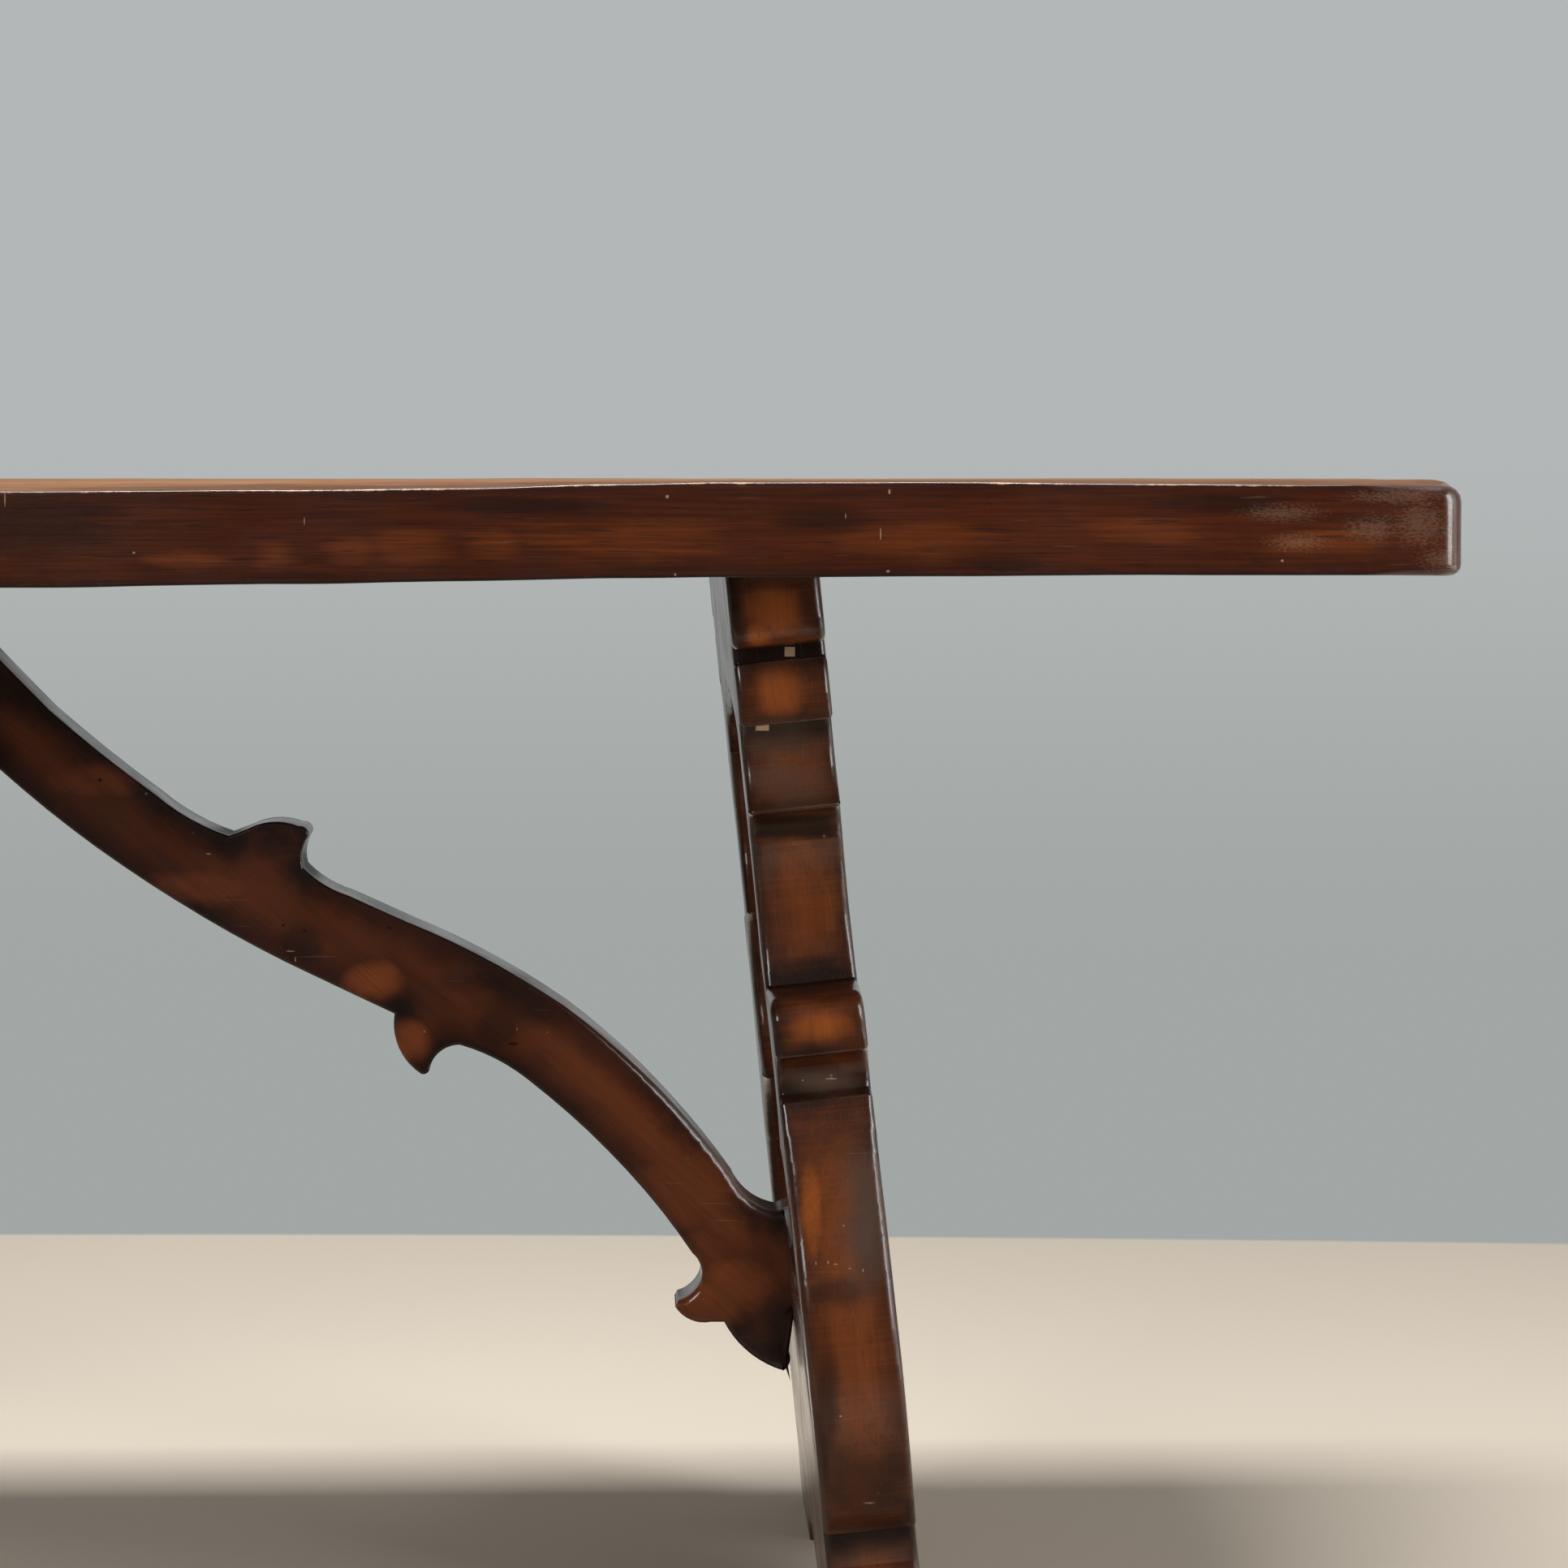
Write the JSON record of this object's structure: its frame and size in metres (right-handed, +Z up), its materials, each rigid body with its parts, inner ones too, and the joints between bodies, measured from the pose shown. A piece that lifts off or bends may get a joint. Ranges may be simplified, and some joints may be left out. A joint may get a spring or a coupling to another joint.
{
  "type": "refectory table",
  "caption": "Dark wooden refectory table with a thick plank top on splayed, pierced lyre-shaped trestles, stiffened by scrolled wooden braces rising to the middle of the top.",
  "frame": {"origin": "on the floor, at the middle of the table's length and width", "axes": "+X along the table's length, towards the end that the picture shows; -Y towards the front; +Z up"},
  "size_m": [2, 0.8, 0.78],
  "materials": {
    "top_walnut": "dark walnut-stained boards, fine straight grain, worn and waxed to a gloss",
    "trestle_walnut": "dark walnut stain, antiqued near black in the recesses, glossy on the arrises",
    "brace_walnut": "red-brown walnut stain with dark round knots, glossy along the arrises",
    "batten_walnut": "dark walnut stain, plain and less polished than the rest",
    "joinery_wood": "bare beech, sealed inside the joints",
    "screw_steel": "plain zinc-plated steel"
  },
  "bodies": {
    "root": {"top_front_board": "top_walnut", "top_middle_board": "top_walnut", "top_back_board": "top_walnut", "right_trestle_front_post": "trestle_walnut", "right_trestle_back_post": "trestle_walnut", "right_trestle_head_block": "trestle_walnut", "right_trestle_bridge": "trestle_walnut", "left_trestle_front_post": "trestle_walnut", "left_trestle_back_post": "trestle_walnut", "left_trestle_head_block": "trestle_walnut", "left_trestle_bridge": "trestle_walnut", "right_brace": "brace_walnut", "left_brace": "brace_walnut", "centre_batten": "batten_walnut", "trestle_tenons": "joinery_wood", "trestle_tongues": "joinery_wood", "brace_tongues": "joinery_wood", "batten_screws": "screw_steel"}
  },
  "joints": []
}
